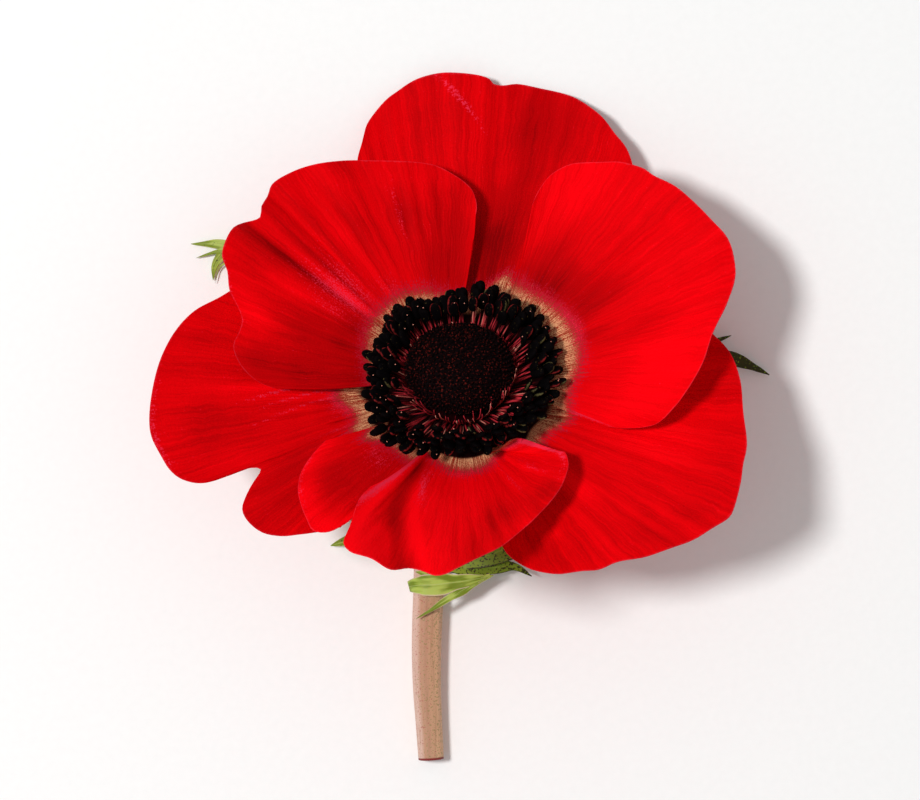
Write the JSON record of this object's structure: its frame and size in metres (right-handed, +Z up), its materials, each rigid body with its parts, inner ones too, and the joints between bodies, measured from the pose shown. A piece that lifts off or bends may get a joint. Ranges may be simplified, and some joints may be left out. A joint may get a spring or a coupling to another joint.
{
  "type": "anemone flower",
  "caption": "Cut red anemone bloom with a dark centre, a leafy collar and a short stem, lying with its face turned up.",
  "frame": {"origin": "centre of the bounding box's bottom, on the surface that the flower lies on", "axes": "+Z up from that surface, +Y from the stem's cut end to the bloom's far petal, +X to the right"},
  "size_m": [0.084, 0.0946, 0.0459],
  "materials": {
    "stem": "smooth pinkish tan skin with a fine down",
    "petal_top": "satin red petal with fine veins",
    "petal_upper_left": "satin red petal with fine veins",
    "petal_upper_right": "satin red petal with fine veins",
    "petal_left": "satin red petal with fine veins",
    "petal_lower_left": "satin red petal with fine veins",
    "petal_bottom": "satin red petal with fine veins",
    "petal_lower_right": "satin red petal with fine veins",
    "bract_left": "matte green leaf",
    "bract_right": "matte dark olive leaf",
    "bract_front": "matte green leaf",
    "carpel_head": "velvety black",
    "stamens": "matte blue-black anthers"
  },
  "bodies": {
    "root": {"stem": "stem", "petal_top": "petal_top", "petal_upper_left": "petal_upper_left", "petal_upper_right": "petal_upper_right", "petal_left": "petal_left", "petal_lower_left": "petal_lower_left", "petal_bottom": "petal_bottom", "petal_lower_right": "petal_lower_right", "bract_left": "bract_left", "bract_right": "bract_right", "bract_front": "bract_front", "carpel_head": "carpel_head", "stamens": "stamens"}
  },
  "joints": []
}
